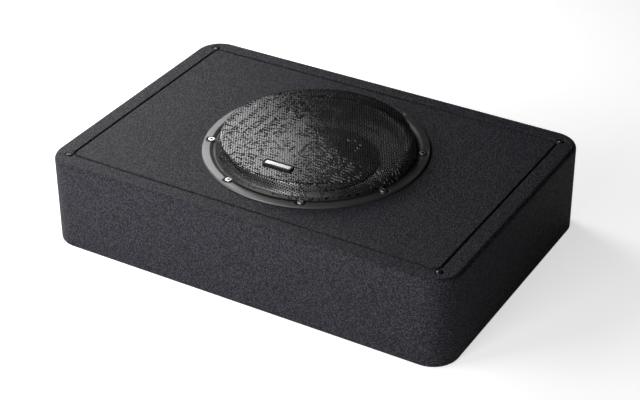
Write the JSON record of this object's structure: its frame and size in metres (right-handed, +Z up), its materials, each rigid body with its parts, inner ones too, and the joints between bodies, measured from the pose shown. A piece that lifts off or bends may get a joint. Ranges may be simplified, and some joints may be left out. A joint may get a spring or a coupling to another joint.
{
  "type": "powered car subwoofer",
  "caption": "Slim flat car subwoofer: a coated box with rounded corners, a driver behind a raised perforated steel grille, and an amplifier panel set into the back wall.",
  "frame": {"origin": "centre of the underside of the box", "axes": "+Z up, +X along the long side, -Y to the front, +Y to the back, where the amplifier panel is"},
  "size_m": [0.55, 0.372, 0.1409],
  "materials": {
    "box_coat": "charcoal textured coat on fibreboard",
    "fibreboard": "raw fibreboard",
    "wadding": "white polyester wadding",
    "foam": "closed-cell foam",
    "black_steel": "semi-gloss black powder coat",
    "surround_rubber": "smooth butyl rubber",
    "cone_material": "dark grey pressed cone",
    "cap_material": "dark grey dished cap",
    "spider_cloth": "resin-treated cloth",
    "former_metal": "thin sheet",
    "copper": "enamelled copper",
    "plated_steel": "zinc-plated steel",
    "ferrite": "ferrite magnet",
    "ring_satin": "satin dark grey metallic",
    "bright_screw": "bright steel socket head",
    "black_screw": "gloss black",
    "grille_black": "black powder coat, perforated",
    "badge_black": "gloss black",
    "badge_silver": "satin silver, blank",
    "phenolic": "brown insulating strip",
    "tab_brass": "tinned brass",
    "wire_jacket": "red and black insulated wire",
    "amp_aluminium": "black anodised",
    "cover_steel": "galvanised sheet",
    "board_green": "solder-resist green",
    "can_sleeve": "shrunk sleeve",
    "case_black": "moulded black",
    "knob_plastic": "black with a white pointer",
    "shaft_plastic": "white nylon",
    "slider_plastic": "light grey",
    "led_lens": "blue diffused lens",
    "nickel": "nickel plate",
    "insert_white": "white",
    "insert_red": "red",
    "fuse_plastic": "translucent green"
  },
  "bodies": {
    "enclosure": {"side_walls": "box_coat", "top_panel": "box_coat", "bottom_panel": "box_coat", "corner_screws": "black_screw", "left_brace": "fibreboard", "right_brace": "fibreboard", "left_wadding": "wadding", "right_wadding": "wadding", "driver_gasket": "foam", "basket": "black_steel", "surround": "surround_rubber", "spider": "spider_cloth", "top_plate": "plated_steel", "magnet": "ferrite", "pole_yoke": "plated_steel", "trim_ring": "ring_satin", "driver_screws": "bright_screw", "grille": "grille_black", "badge_border": "badge_black", "badge_plate": "badge_silver", "terminal_strip": "phenolic", "terminal_tabs": "tab_brass", "tinsel_leads": "copper", "speaker_wires": "wire_jacket", "amp_panel": "amp_aluminium", "amp_gasket": "foam", "amp_panel_screws": "black_screw", "amp_cover": "cover_steel", "circuit_board": "board_green", "capacitors": "can_sleeve", "ring_inductor": "copper", "power_transistors": "case_black", "clamp_bar": "plated_steel", "potentiometers": "case_black", "switch_cases": "case_black", "power_led": "led_lens", "rca_jacks": "nickel", "rca_insert_white": "insert_white", "rca_insert_red": "insert_red", "remote_socket": "case_black", "high_level_socket": "case_black", "fuse_holder": "case_black", "fuses": "fuse_plastic", "power_terminal_block": "case_black", "terminal_screws": "plated_steel"},
    "cone_assembly": {"cone": "cone_material", "dust_cap": "cap_material", "coil_former": "former_metal", "coil_winding": "copper"},
    "gain_control": {"gain_knob": "knob_plastic", "gain_shaft": "shaft_plastic"},
    "crossover_control": {"crossover_knob": "knob_plastic", "crossover_shaft": "shaft_plastic"},
    "bass_control": {"bass_knob": "knob_plastic", "bass_shaft": "shaft_plastic"},
    "phase_switch": {"phase_slider": "slider_plastic"},
    "mode_switch": {"mode_slider": "slider_plastic"}
  },
  "joints": [
    {"name": "cone_stroke", "type": "slide", "parent": "enclosure", "child": "cone_assembly", "axis": [0, 0, 1], "range_m": [-0.01, 0.01], "deforming": ["surround", "spider", "tinsel_leads"]},
    {"name": "gain_turn", "type": "hinge", "parent": "enclosure", "child": "gain_control", "pos_m": [0, 0.178, 0.069], "axis": [0, 1, 0], "range_deg": [-140, 140]},
    {"name": "crossover_turn", "type": "hinge", "parent": "enclosure", "child": "crossover_control", "pos_m": [-0.03, 0.178, 0.069], "axis": [0, 1, 0], "range_deg": [-140, 140]},
    {"name": "bass_turn", "type": "hinge", "parent": "enclosure", "child": "bass_control", "pos_m": [-0.06, 0.178, 0.069], "axis": [0, 1, 0], "range_deg": [-140, 140]},
    {"name": "phase_slide", "type": "slide", "parent": "enclosure", "child": "phase_switch", "axis": [-1, 0, 0], "range_m": [0, 0.004]},
    {"name": "mode_slide", "type": "slide", "parent": "enclosure", "child": "mode_switch", "axis": [-1, 0, 0], "range_m": [0, 0.004]}
  ]
}
